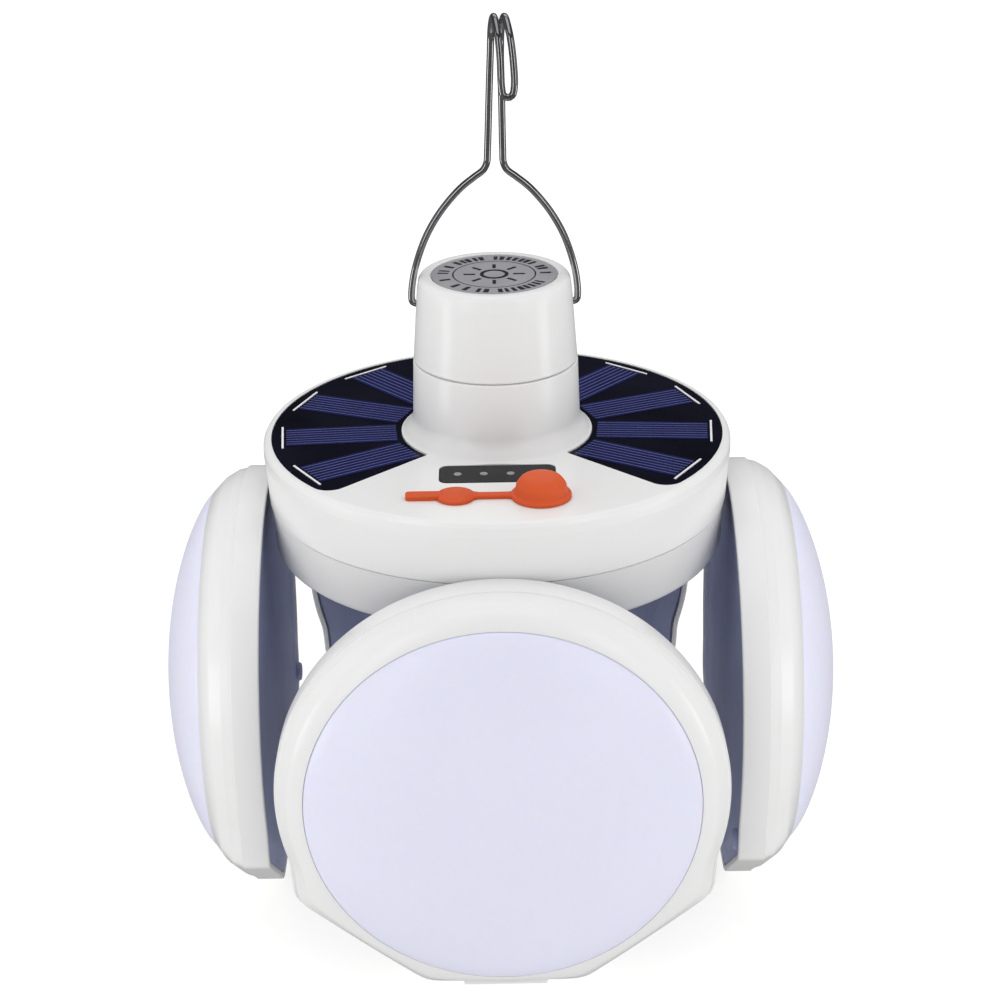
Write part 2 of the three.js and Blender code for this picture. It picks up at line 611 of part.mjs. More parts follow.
// One side of the wire from its end in the cap up the bow, the stem and over the hook.
function hangerSide(sign) {
  const bow = [
    [14.4, 0], [17.1, 0], [17.75, 0.4], [17.95, 1.6], [17.5, 6], [16.2, 11], [14.4, 15.6],
    [12, 19.8], [9.6, 23], [7, 25.8], [4.4, 27.9], [2.5, 29.4],
  ].map(([x, rise]) => [x, 0, PIVOT_Z + rise]);
  const stem = [
    [1.75, 0, 60.4], [1.6, 0, 63], [1.3, 0, 75], [1.05, -0.3, 84],
  ].map(([x, y, rise]) => [x, y, DECK_Z + rise]);
  const hook = [
    [1.05, -1.8, 89.4, 0.15], [1.1, -5.6, 92.3, 0.7], [1.2, -9.6, 89.6, 1.6],
    [1.3, -11.2, 85, 2.2], [1.3, -11.9, 79.4, HOOK_SHIFT], [0.92, -12, 77.7, HOOK_SHIFT],
  ];
  const route = [
    ...[...bow, ...stem].map(([x, y, z]) => [sign * x, y, z]),
    ...hook.map(([x, y, rise, shift]) => [shift + sign * x, y, DECK_Z + rise]),
  ];
  return route.map(leaning);
}

function buildHanger() {
  const tip = leaning([HOOK_SHIFT, -12.1, DECK_Z + 77.2]);
  const route = [...hangerSide(-1), tip, ...hangerSide(1).reverse()];
  const path = new THREE.CatmullRomCurve3(
    route.map(([x, y, z]) => new THREE.Vector3(x, y, z)), false, 'centripetal',
  );
  add('wire_hanger', wire(path, WIRE_R, 6, 110), STEEL);
}

buildDisc();
buildPort();
buildElectronics();
buildPillarAndHub();
buildLeaves();
buildHanger();

export default lantern;
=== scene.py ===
"""Looks of the solar lantern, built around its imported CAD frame.

Shapes are worked out in millimetres, with +Z up and the lamp axis at x = y = 0, and become metres
when a mesh is made. A leaf is drawn lying flat with its lens up, stood up to face the front (-Y),
and turned about the lamp axis. The numbers in a profile are millimetres: (radius, height, rounding).
"""

import json
import math

import bmesh
import bpy
from mathutils import Matrix, Vector


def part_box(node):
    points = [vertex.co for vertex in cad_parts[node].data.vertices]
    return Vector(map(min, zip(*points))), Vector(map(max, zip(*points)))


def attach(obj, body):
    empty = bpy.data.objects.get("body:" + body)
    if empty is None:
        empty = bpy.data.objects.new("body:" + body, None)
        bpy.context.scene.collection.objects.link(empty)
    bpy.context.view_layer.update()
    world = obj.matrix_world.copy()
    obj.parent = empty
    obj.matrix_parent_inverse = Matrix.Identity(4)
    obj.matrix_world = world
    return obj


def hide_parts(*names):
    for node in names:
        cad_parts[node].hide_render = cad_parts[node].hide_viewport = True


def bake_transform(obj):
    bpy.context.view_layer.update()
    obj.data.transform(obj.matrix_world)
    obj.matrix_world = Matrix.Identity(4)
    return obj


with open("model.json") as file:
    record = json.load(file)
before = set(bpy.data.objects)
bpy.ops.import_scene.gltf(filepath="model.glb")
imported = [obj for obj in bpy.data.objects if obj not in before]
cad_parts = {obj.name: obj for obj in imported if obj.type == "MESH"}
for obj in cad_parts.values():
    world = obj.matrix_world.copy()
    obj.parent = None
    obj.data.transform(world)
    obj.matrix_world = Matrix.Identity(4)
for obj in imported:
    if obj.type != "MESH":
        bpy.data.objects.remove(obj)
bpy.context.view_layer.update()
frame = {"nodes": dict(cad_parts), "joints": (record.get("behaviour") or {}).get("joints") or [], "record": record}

MM = 0.001
TAU = 2 * math.pi


def box_mm(node):
    """The low and high corners of a CAD node's box, in millimetres."""
    low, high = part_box(node)
    return low / MM, high / MM


# Sizes in millimetres that the frame doesn't hold. CELL_DEPTH is how far a cell lies below the deck.
CELL_DEPTH = 0.03
TOP_SHELL_HEIGHT = 14
LENS_R = 41.2
LENS_UP = 1.2
LENS_RISE = 11.3
LENS_FULLNESS = 1.5
NECK_R = 18.4
COLLAR_R = 20.7
PANEL_INNER_R = 21.2

# Places read from the frame, in millimetres
DECK = box_mm("solar_cell_1")[1].z + CELL_DEPTH
RIM_R = box_mm("top_housing")[1].x
SEAM = box_mm("neck_cap")[0].z
CAP_TOP = box_mm("neck_cap")[1].z
BAND_BOTTOM, BAND_R = box_mm("lower_housing")[0].z, box_mm("lower_housing")[1].x
BAND_TOP = DECK - TOP_SHELL_HEIGHT
PANEL_R = box_mm("solar_panel")[1].x
PILLAR_R = box_mm("pillar")[1].x
PILLAR_LOW, PILLAR_HIGH = box_mm("pillar")[0].z, box_mm("pillar")[1].z
HUB_R = box_mm("hub_bezel")[1].x
HUB_ROOF = box_mm("hub_housing")[1].z
LEAF_REAR = -box_mm("leaf_front_bezel")[1].y
LEAF_APEX = -box_mm("leaf_front_diffuser")[0].y
LENS_Z = (box_mm("leaf_front_diffuser")[0].z + box_mm("leaf_front_diffuser")[1].z) / 2
LEAF_R = box_mm("leaf_front_bezel")[1].x
JOINTS = {joint["name"]: joint for joint in frame["joints"]}
HINGE = Vector(JOINTS["leaf_front_hinge"]["pos_m"]) / MM
PIVOT_Z = JOINTS["hanger_pivot"]["pos_m"][2] / MM

# Levels through a leaf, from its back to its face, as distances from the lamp axis
LEAF_BACK = LEAF_REAR + 0.3
LEAF_SEAM = LEAF_REAR + 1.8
LEAF_STEP = LEAF_REAR + 6
LEAF_FACE = LEAF_APEX - LENS_RISE
LEAF_Z = LENS_Z - LENS_UP

# Each leaf's turn about the lamp axis, in degrees
QUARTERS = {"front": 0, "right": 90, "rear": 180, "left": 270}


# Outlines --------------------------------------------------------------------------------------

NEARLY_STRAIGHT = math.radians(89.5)
SIDE_SHARE = 0.49


def polar(radius, degrees):
    angle = math.radians(degrees)
    return (radius * math.cos(angle), radius * math.sin(angle))


def arc(cx, cy, radius, start, stop, steps):
    points = []
    for i in range(steps + 1):
        x, y = polar(radius, start + (stop - start) * i / steps)
        points.append((cx + x, cy + y))
    return points


def fillet(corners, closed=True, steps=4):
    """Round each corner (x, y, radius) of an outline with an arc; radius 0 keeps it sharp.

    An arc takes up less than half of each side beside it, so a radius may come out smaller.
    """
    points = []
    count = len(corners)
    for i, (x, y, radius) in enumerate(corners):
        here = Vector((x, y))
        if radius <= 0 or (not closed and i in (0, count - 1)):
            points.append((x, y))
            continue
        before = Vector(corners[i - 1][:2]) - here
        after = Vector(corners[(i + 1) % count][:2]) - here
        half = before.angle(after) / 2
        if half > NEARLY_STRAIGHT:
            points.append((x, y))
            continue
        reach = min(radius / math.tan(half), before.length * SIDE_SHARE, after.length * SIDE_SHARE)
        true_radius = reach * math.tan(half)
        bisector = (before.normalized() + after.normalized()).normalized()
        centre = here + bisector * (true_radius / math.sin(half))
        first = here + before.normalized() * reach - centre
        last = here + after.normalized() * reach - centre
        turn = first.angle_signed(last)
        for k in range(steps + 1):
            spoke = Matrix.Rotation(-turn * k / steps, 2) @ first
            points.append(tuple(centre + spoke))
    return points


def c_shape(inner, outer, gap, corner):
    """The panel's outline: a ring open to the front by gap degrees, with rounded outer corners."""
    edge, far = -90 + gap / 2, 270 - gap / 2
    turn = math.degrees(math.asin(corner / (outer - corner)))
    near_x, near_y = polar(outer - corner, edge + turn)
    far_x, far_y = polar(outer - corner, far - turn)
    return (
        arc(near_x, near_y, corner, edge - 90, edge + turn, 8)
        + arc(0, 0, outer, edge + turn, far - turn, 120)[1:-1]
        + arc(far_x, far_y, corner, far - turn, far + 90, 8)
        + arc(0, 0, inner, far, edge, 96)
    )


def rounded_box(cx, cy, width, depth, corner):
    """A rectangle about (cx, cy) with rounded corners."""
    hx, hy = width / 2, depth / 2
    corners = [(cx + sx * hx, cy + sy * hy, corner) for sx, sy in ((1, -1), (1, 1), (-1, 1), (-1, -1))]
    return fillet(corners, steps=6)


# Meshes ----------------------------------------------------------------------------------------

def make_object(name, points, faces, sharp_deg=35):
    """A smooth-shaded object from points in millimetres, with its sharp edges marked."""
    mesh = bpy.data.meshes.new(name)
    mesh.from_pydata([Vector(p) * MM for p in points], [], faces)
    obj = bpy.data.objects.new(name, mesh)
    bpy.context.scene.collection.objects.link(obj)
    settle(obj, sharp_deg)
    return obj


def settle(obj, sharp_deg=35):
    """Join doubled points, turn the faces outwards and mark the edges that stay sharp."""
    work = bmesh.new()
    work.from_mesh(obj.data)
    bmesh.ops.remove_doubles(work, verts=work.verts, dist=1e-7)
    bmesh.ops.recalc_face_normals(work, faces=work.faces)
    limit = math.radians(sharp_deg)
    for edge in work.edges:
        edge.smooth = len(edge.link_faces) == 2 and edge.calc_face_angle(0) < limit
    for face in work.faces:
        face.smooth = True
    work.to_mesh(obj.data)
    work.free()


def lathe(name, profile, segments=160, sharp_deg=35):
    """Turn a closed profile of (radius, height) about the lamp axis. It may start and end on it."""
    points, rows = [], []
    for r, z in profile:
        if r < 1e-6:
            rows.append([len(points)] * segments)
            points.append((0, 0, z))
            continue
        rows.append(list(range(len(points), len(points) + segments)))
        points.extend((*polar(r, 360 * i / segments), z) for i in range(segments))
    on_axis = profile[0][0] < 1e-6
    pairs = list(zip(rows, rows[1:])) if on_axis else list(zip(rows, rows[1:] + rows[:1]))
    faces = []
    for low, high in pairs:
        for i in range(segments):
            j = (i + 1) % segments
            ring = [low[i], low[j], high[j], high[i]]
            corners = [v for k, v in enumerate(ring) if v != ring[k - 1]]
            if len(corners) > 2:
                faces.append(corners)
    return make_object(name, points, faces, sharp_deg)


def prism(name, outline, low, high):
    """An outline in the XY plane, drawn up from low to high."""
    count = len(outline)
    points = [(x, y, low) for x, y in outline] + [(x, y, high) for x, y in outline]
    faces = [list(range(count))[::-1], list(range(count, 2 * count))]
    for i in range(count):
        j = (i + 1) % count
        faces.append([i, j, j + count, i + count])
    return make_object(name, points, faces)


def rings(name, layers, closed=False, sharp_deg=35):
    """Join rings of one point count. closed joins the last to the first; else the ends are capped."""
    count = len(layers[0])
    points = [p for layer in layers for p in layer]
    faces = []
    for a in range(len(layers) if closed else len(layers) - 1):
        b = (a + 1) % len(layers)
        for i in range(count):
            j = (i + 1) % count
            faces.append([a * count + i, a * count + j, b * count + j, b * count + i])
    if not closed:
        last = (len(layers) - 1) * count
        faces.append(list(range(count))[::-1])
        faces.append(list(range(last, last + count)))
    return make_object(name, points, faces, sharp_deg)


def bake(obj):
    """Replace an object's mesh by what its modifiers make of it."""
    bpy.context.view_layer.update()
    shown = obj.evaluated_get(bpy.context.evaluated_depsgraph_get())
    obj.data = bpy.data.meshes.new_from_object(shown)
    obj.modifiers.clear()


def combine(obj, others, operation, sharp_deg=35):
    """Add the others to an object or cut them from it, and remove them."""
    for other in others:
        step = obj.modifiers.new("join", "BOOLEAN")
        step.operation = operation
        step.solver = "EXACT"
        step.object = other
    bake(obj)
    for other in others:
        bpy.data.objects.remove(other)
    settle(obj, sharp_deg)


def soften(obj, width, angle=40, segments=2):
    """Small rounds on the sharp edges."""
    step = obj.modifiers.new("edge", "BEVEL")
    step.width = width * MM
    step.segments = segments
    step.limit_method = "ANGLE"
    step.angle_limit = math.radians(angle)
    step.harden_normals = True
    bake(obj)


def move(obj, matrix):
    """Move an object's mesh, and leave its origin where it is."""
    obj.data.transform(matrix)
    obj.data.update()
    return obj


def shift(x, y, z):
    return Matrix.Translation(Vector((x, y, z)) * MM)


def turn_z(degrees):
    return Matrix.Rotation(math.radians(degrees), 4, "Z")


def turn_x(degrees):
    return Matrix.Rotation(math.radians(degrees), 4, "X")


def turn_y(degrees):
    return Matrix.Rotation(math.radians(degrees), 4, "Y")


def wire_path(route, per_span):
    """A centripetal Catmull-Rom curve through the route's points."""
    knots = [Vector(p) for p in route]
    ends = [2 * knots[0] - knots[1], *knots, 2 * knots[-1] - knots[-2]]
    path = []
    for i in range(1, len(ends) - 2):
        p0, p1, p2, p3 = ends[i - 1:i + 3]
        t1 = (p1 - p0).length ** 0.5
        t2 = t1 + (p2 - p1).length ** 0.5
        t3 = t2 + (p3 - p2).length ** 0.5
        for k in range(per_span):
            t = t1 + (t2 - t1) * k / per_span
            a1 = p0 * ((t1 - t) / t1) + p1 * (t / t1)
            a2 = p1 * ((t2 - t) / (t2 - t1)) + p2 * ((t - t1) / (t2 - t1))
            a3 = p2 * ((t3 - t) / (t3 - t2)) + p3 * ((t - t2) / (t3 - t2))
            b1 = a1 * ((t2 - t) / t2) + a2 * (t / t2)
            b2 = a2 * ((t3 - t) / (t3 - t1)) + a3 * ((t - t1) / (t3 - t1))
            path.append(b1 * ((t2 - t) / (t2 - t1)) + b2 * ((t - t1) / (t2 - t1)))
    return [*path, knots[-1]]


TUBE_SIDES = 20
TUBE_END_SHARE = 0.72


def tube(name, path, radius):
    """A round wire along a path of points, a little thinner at its two ends."""
    layers = []
    normal = (path[1] - path[0]).orthogonal().normalized()
    for i, point in enumerate(path):
        ahead = path[min(i + 1, len(path) - 1)] - path[max(i - 1, 0)]
        ahead.normalize()
        normal = (normal - ahead * normal.dot(ahead)).normalized()
        side = ahead.cross(normal)
        scale = radius * (TUBE_END_SHARE if i in (0, len(path) - 1) else 1)
        ring = []
        for k in range(TUBE_SIDES):
            c, s = polar(scale, 360 * k / TUBE_SIDES)
            ring.append(point + normal * c + side * s)
        layers.append(ring)
    return rings(name, layers, sharp_deg=60)


# Materials -------------------------------------------------------------------------------------

# The values between which noise mostly lies
NOISE_LOW, NOISE_HIGH = 0.3, 0.7
# A surface's roughness varies between these shares of it
GLOSS_LOW, GLOSS_HIGH = 0.93, 1.07
GRAIN_SCALE = 1500
GRAIN_HEIGHT = 0.05 * MM
FINE_HEIGHT = 0.03 * MM
COAT_ROUGHNESS = 0.12


class Nodes:
    """A material's node tree, with short ways to add and link nodes."""

    def __init__(self, name):
        self.material = bpy.data.materials.new(name)
        self.material.use_nodes = True
        self.tree = self.material.node_tree
        self.shader = self.tree.nodes["Principled BSDF"]
        self.coords = self.tree.nodes.new("ShaderNodeTexCoord").outputs["Object"]

    def add(self, kind, **settings):
        node = self.tree.nodes.new(kind)
        for key, value in settings.items():
            setattr(node, key, value)
        return node

    def link(self, output, target):
        self.tree.links.new(output, target)

    def feed(self, target, value):
        """Link a socket to an output, or give it a number."""
        if isinstance(value, (int, float)):
            target.default_value = value
        else:
            self.link(value, target)

    def calc(self, operation, a, b=0.0, c=0.0):
        node = self.add("ShaderNodeMath", operation=operation)
        for target, value in zip(node.inputs, (a, b, c)):
            self.feed(target, value)
        return node.outputs[0]

    def noise(self, scale, detail=3.0, stretch=(1, 1, 1)):
        mapping = self.add("ShaderNodeMapping")
        mapping.inputs["Scale"].default_value = stretch
        self.link(self.coords, mapping.inputs["Vector"])
        node = self.add("ShaderNodeTexNoise")
        node.inputs["Scale"].default_value = scale
        node.inputs["Detail"].default_value = detail
        self.link(mapping.outputs[0], node.inputs["Vector"])
        return node.outputs["Fac"]

    def spread(self, value, low, high):
        """Noise, stretched to run from low to high."""
        node = self.add("ShaderNodeMapRange")
        node.inputs["From Min"].default_value = NOISE_LOW
        node.inputs["From Max"].default_value = NOISE_HIGH
        node.inputs["To Min"].default_value = low
        node.inputs["To Max"].default_value = high
        self.link(value, node.inputs["Value"])
        return node.outputs["Result"]

    def mix(self, factor, first, second):
        node = self.add("ShaderNodeMix", data_type="RGBA")
        self.feed(node.inputs["Factor"], factor)
        for socket, colour in ((node.inputs["A"], first), (node.inputs["B"], second)):
            if isinstance(colour, tuple):
                socket.default_value = (*colour, 1)
            else:
                self.link(colour, socket)
        return node.outputs["Result"]

    def bump(self, height, strength, distance):
        node = self.add("ShaderNodeBump")
        node.inputs["Strength"].default_value = strength
        node.inputs["Distance"].default_value = distance
        self.link(height, node.inputs["Height"])
        self.link(node.outputs[0], self.shader.inputs["Normal"])


def surface(name, first, second, rough, grain=0.04, scale=60, coat=0.0, **sockets):
    """A moulded or metal surface: two close colours in soft clouds, uneven gloss, a fine grain."""
    n = Nodes(name)
    n.link(n.mix(n.spread(n.noise(scale), 0, 1), first, second), n.shader.inputs["Base Color"])
    gloss = n.spread(n.noise(scale * 2.3), rough * GLOSS_LOW, rough * GLOSS_HIGH)
    n.link(gloss, n.shader.inputs["Roughness"])
    n.bump(n.noise(GRAIN_SCALE, 2), grain, GRAIN_HEIGHT)
    n.shader.inputs["Coat Weight"].default_value = coat
    n.shader.inputs["Coat Roughness"].default_value = COAT_ROUGHNESS
    for socket, value in sockets.items():
        n.shader.inputs[socket.replace("_", " ")].default_value = value
    return n.material


FINGER_PITCH = 1.3 * MM
FINGER_HALF_SHARE = 0.1


def cell_material():
    """Indigo silicon under resin, with pale fingers along the strip and small crystal flecks."""
    n = Nodes("cell_silicon")
    split = n.add("ShaderNodeSeparateXYZ")
    n.link(n.coords, split.inputs[0])
    across = n.calc("FRACT", n.calc("MULTIPLY_ADD", split.outputs["X"], 1 / FINGER_PITCH, 0.5))
    from_finger = n.calc("ABSOLUTE", n.calc("SUBTRACT", across, 0.5))
    finger = n.calc("LESS_THAN", from_finger, FINGER_HALF_SHARE)
    clouds = n.spread(n.noise(90, 4), 0, 1)
    blue = n.mix(clouds, (0.005, 0.006, 0.034), (0.01, 0.012, 0.068))
    streak = n.spread(n.noise(700, 2, (1, 0.05, 1)), 0, 0.35)
    blue = n.mix(streak, blue, (0.016, 0.019, 0.085))
    colour = n.mix(n.calc("MULTIPLY", finger, 0.8), blue, (0.12, 0.135, 0.36))
    n.link(colour, n.shader.inputs["Base Color"])
    n.link(n.spread(n.noise(260), 0.2, 0.32), n.shader.inputs["Roughness"])
    n.bump(finger, 0.25, FINE_HEIGHT)
    n.shader.inputs["Specular IOR Level"].default_value = 0.08
    return n.material


# The label's print, in millimetres from its middle
DASHES = 46
DASH_RING_R, DASH_HALF_LENGTH = 11.1, 1.2
THIN_RING_R, THIN_HALF_WIDTH = 8.9, 0.16


def label_material():
    """Grey label with a ring of random dashes in place of print, and a thin inner ring."""
    n = Nodes("label_print")
    split = n.add("ShaderNodeSeparateXYZ")
    n.link(n.coords, split.inputs[0])
    x, y = split.outputs["X"], split.outputs["Y"]
    squared = n.calc("ADD", n.calc("MULTIPLY", x, x), n.calc("MULTIPLY", y, y))
    radius = n.calc("DIVIDE", n.calc("SQRT", squared), MM)
    around = n.calc("MULTIPLY", n.calc("ARCTAN2", y, x), DASHES / TAU)
    whole = n.calc("FLOOR", around)
    part = n.calc("FRACT", around)
    chance = n.add("ShaderNodeTexWhiteNoise", noise_dimensions="1D")
    n.link(whole, chance.inputs["W"])
    dash = n.calc("MULTIPLY", n.calc("GREATER_THAN", chance.outputs["Value"], 0.22),
                  n.calc("LESS_THAN", part, n.calc("MULTIPLY_ADD", chance.outputs["Value"], 0.4, 0.4)))
    from_dashes = n.calc("ABSOLUTE", n.calc("SUBTRACT", radius, DASH_RING_R))
    ring = n.calc("LESS_THAN", from_dashes, DASH_HALF_LENGTH)
    from_thin = n.calc("ABSOLUTE", n.calc("SUBTRACT", radius, THIN_RING_R))
    thin = n.calc("LESS_THAN", from_thin, THIN_HALF_WIDTH)
    ink = n.calc("MAXIMUM", n.calc("MULTIPLY", dash, ring), thin)
    grey = n.mix(n.spread(n.noise(120), 0, 1), (0.29, 0.285, 0.31), (0.325, 0.32, 0.345))
    n.link(n.mix(ink, grey, (0.01, 0.01, 0.012)), n.shader.inputs["Base Color"])
    n.link(n.spread(n.noise(300), 0.38, 0.5), n.shader.inputs["Roughness"])
    n.bump(n.noise(900), 0.05, FINE_HEIGHT)
    return n.material


LOOKS = {
    "white_shell": surface("white_abs", (0.776, 0.776, 0.771), (0.781, 0.781, 0.776), 0.3, 0.02, coat=0.2),
    "grey_band": surface("grey_abs", (0.66, 0.66, 0.66), (0.68, 0.68, 0.68), 0.36, coat=0.1),
    "blue_grey_shell": surface(
        "blue_grey_abs", (0.3, 0.325, 0.49), (0.34, 0.37, 0.55), 0.45, 0.1, Specular_IOR_Level=0.25),
    # The lens's faint lavender emission is a painted glow, not lamp light: it flattens the lens's shading to an
    # even pale lavender.
    "milky_diffuser": surface(
        "milky_lens_painted_glow", (0.64, 0.635, 0.75), (0.66, 0.655, 0.77), 0.34, 0.02, scale=25,
        Subsurface_Weight=0.3, Subsurface_Scale=0.004,
        Emission_Color=(0.78, 0.78, 0.93, 1), Emission_Strength=0.12),
    "panel_black": surface(
        "panel_resin", (0.002, 0.002, 0.006), (0.006, 0.006, 0.014), 0.14, Specular_IOR_Level=0.04),
    "solar_cell": cell_material(),
    "smoke_window": surface(
        "smoke_pane", (0.014, 0.014, 0.016), (0.02, 0.02, 0.022), 0.2, Specular_IOR_Level=0.08),
    "orange_silicone": surface(
        "orange_silicone", (0.6, 0.07, 0.012), (0.68, 0.1, 0.02), 0.5, 0.15, Specular_IOR_Level=0.3),
    "cap_label": label_material(),
    "bright_wire": surface(
        "bright_wire", (0.4, 0.4, 0.41), (0.5, 0.5, 0.51), 0.1, 0.06, scale=300, Metallic=1.0),
    "plated_steel": surface(
        "plated_steel", (0.5, 0.5, 0.51), (0.6, 0.6, 0.61), 0.3, 0.1, scale=300, Metallic=1.0),
    "green_board": surface("solder_mask", (0.015, 0.13, 0.04), (0.02, 0.17, 0.055), 0.4),
    "white_board": surface("white_mask", (0.8, 0.8, 0.78), (0.86, 0.86, 0.84), 0.45),
    "battery_wrap": surface("battery_wrap", (0.02, 0.24, 0.3), (0.03, 0.29, 0.36), 0.35),
    "black_insulation": surface("black_insulation", (0.02, 0.02, 0.021), (0.035, 0.035, 0.037), 0.5),
    "dark_button": surface(
        "dark_button", (0.014, 0.014, 0.016), (0.02, 0.02, 0.023), 0.45, 0.2, Specular_IOR_Level=0.25),
}

# Looks of single pieces whose slot has another look
DOT_LOOK = surface("dot_pane", (0.2, 0.2, 0.21), (0.3, 0.3, 0.31), 0.3, scale=500)
RIBBON_LOOK = surface("tinned_ribbon", (0.74, 0.74, 0.76), (0.86, 0.86, 0.88), 0.35, 0.1, scale=400)


def place(obj, body, slot, *nodes):
    """Give a finished piece the material of its slot, hang it on its CAD body's empty and hide the CAD nodes that
    it stands for.
    """
    obj.data.materials.clear()
    obj.data.materials.append(LOOKS[slot])
    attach(obj, body)
    if nodes:
        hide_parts(*nodes)
    return obj


def dress_cad_nodes():
    """Give each CAD node that stays the look of its slot."""
    for row in frame["record"]["subparts"]:
        node = frame["nodes"][row["node"]]
        look = LOOKS[row["material_slot"]]
        if not node.material_slots:
            node.data.materials.append(look)
        for cad_slot in node.material_slots:
            cad_slot.material = look


# Disc and neck ---------------------------------------------------------------------------------

# x, y, width, depth and corner radius
WINDOW = (0, -25.7, 24.5, 9.2, 1.8)
DOTS_X = (-8.4, -2.9, 2.8, 8.6)
PORT_X, PORT_Y = 9, -38
BOSS_OUT = 43.6
SCREW_DEGS = (30, 150, 270)
BUTTON_Z = DECK + 8
PANEL_GAP_DEG = 91
PANEL_CORNER = 4
CELLS = 10
FIRST_CELL_DEG, CELL_STEP_DEG = 58.5, 27
CELL_Y = -34.35
BUS_BAR_Y = -47.3
LABEL_R = 13.5
SUN_IN_R, SUN_OUT_R = 2.3, 3.1
RAY_FROM, RAY_TO, RAY_HALF = 4.1, 6.6, 0.36
PRINT_HEIGHT = 0.05


def upright_rod(name, radius, low, high, x=0, y=0, segments=48):
    profile = [(0, low), (radius, low), (radius, high), (0, high)]
    return move(lathe(name, profile, segments), shift(x, y, 0))


def build_top_shell():
    profile = fillet([
        (48.9, BAND_TOP, 0.3), (50.8, BAND_TOP, 0.4), (51.1, DECK - 9, 8), (51.4, DECK - 5.2, 4),
        (RIM_R, DECK - 3.2, 1.6), (RIM_R - 0.05, DECK - 1.1, 1.2), (50.9, DECK, 0.9),
        (COLLAR_R + 0.2, DECK, 2), (NECK_R, DECK + 3.2, 4.5), (17.98, SEAM - 0.22, 0.5),
        (17.2, SEAM - 0.22, 0.1), (17.2, SEAM - 0.06, 0), (15.3, SEAM - 0.06, 0),
        (15.3, SEAM + 4, 0.3), (13.8, SEAM + 4, 0), (13.8, SEAM - 2, 0),
        (16.2, SEAM - 4, 0), (16.2, DECK - 4, 0), (48.5, DECK - 4, 0), (48.9, DECK - 5, 0),
    ], steps=8)
    shell = lathe("top_shell", profile, 192)
    recess = c_shape(PANEL_INNER_R - 0.15, PANEL_R + 0.12, PANEL_GAP_DEG - 0.2, PANEL_CORNER)
    cutters = [
        prism("c1", recess, DECK - 2.2, DECK + 1),
        prism("c2", rounded_box(WINDOW[0], WINDOW[1], WINDOW[2] + 0.3, WINDOW[3] + 0.3, 1.9),
              DECK - 1.2, DECK + 3),
        upright_rod("c3", 4.4, DECK - 1.8, DECK + 1, PORT_X, PORT_Y),
        prism("c4", rounded_box(PORT_X, PORT_Y, 9.6, 3.8, 1.6), DECK - 5, DECK + 1),
        move(upright_rod("c5", 4.0, 12, 22), shift(0, 0, BUTTON_Z) @ turn_x(-90)),
    ]
    combine(shell, cutters, "DIFFERENCE")
    soften(shell, 0.14)
    place(shell, "housing", "white_shell", "top_housing")


def build_band():
    profile = fillet([
        (15, BAND_BOTTOM, 0.3), (49.8, BAND_BOTTOM, 1.3), (BAND_R, BAND_TOP - 0.1, 0.3),
        (48.6, BAND_TOP - 0.1, 0), (48.6, BAND_TOP + 3.5, 0.3), (47.2, BAND_TOP + 3.5, 0),
        (47.2, BAND_BOTTOM + 2.4, 0.5), (15, BAND_BOTTOM + 2.4, 0),
    ], steps=6)
    band = lathe("band_shell", profile, 192)
    cutters = []
    for degrees in SCREW_DEGS:
        x, y = polar(BOSS_OUT, degrees)
        cutters.append(upright_rod("c1", 2.9, BAND_BOTTOM - 1, BAND_BOTTOM + 1.2, x, y))
        cutters.append(upright_rod("c2", 1.5, BAND_BOTTOM - 1, BAND_BOTTOM + 4, x, y))
    combine(band, cutters, "DIFFERENCE")
    soften(band, 0.14)
    place(band, "housing", "grey_band", "lower_housing")


def build_cap():
    """The neck's cap with the holes for the wire, and the round label in its top."""
    profile = fillet([
        (0, CAP_TOP - 2.2, 0), (14.8, CAP_TOP - 2.2, 0.5), (15.6, SEAM, 0.2), (17.95, SEAM, 0.5),
        (17.8, SEAM + 1, 2), (16.75, CAP_TOP - 3.4, 3), (16.3, CAP_TOP - 0.1, 1.5),
        (13.75, CAP_TOP, 0.3), (13.75, CAP_TOP - 0.7, 0.1), (0, CAP_TOP - 0.7, 0),
    ], closed=False, steps=8)
    cap = lathe("cap_shell", profile, 160)
    hole = move(upright_rod("c1", 0.9, -25, 25, segments=32), shift(0, 0, PIVOT_Z) @ turn_y(90))
    combine(cap, [hole], "DIFFERENCE")
    soften(cap, 0.1)
    place(cap, "housing", "white_shell", "neck_cap")

    low, high = box_mm("cap_label")
    label = lathe("label_disc", fillet([
        (0, low.z, 0), (LABEL_R, low.z, 0.05), (LABEL_R, high.z, 0.15), (0, high.z, 0),
    ], closed=False), 128)
    place(label, "housing", "cap_label", "cap_label")
    build_label_sign(high.z)


def build_label_sign(level):
    """A plain sun: a ring and eight rays, as thin print on the label."""
    top = level + PRINT_HEIGHT
    section = [(SUN_IN_R, level), (SUN_OUT_R, level), (SUN_OUT_R, top), (SUN_IN_R, top)]
    ring = lathe("label_sun", section, 64)
    outline = [(RAY_FROM, -RAY_HALF), (RAY_TO, -RAY_HALF), (RAY_TO, RAY_HALF), (RAY_FROM, RAY_HALF)]
    rays = [move(prism("ray", outline, level, top), turn_z(degrees)) for degrees in range(0, 360, 45)]
    combine(ring, rays, "UNION")
    place(ring, "housing", "dark_button")


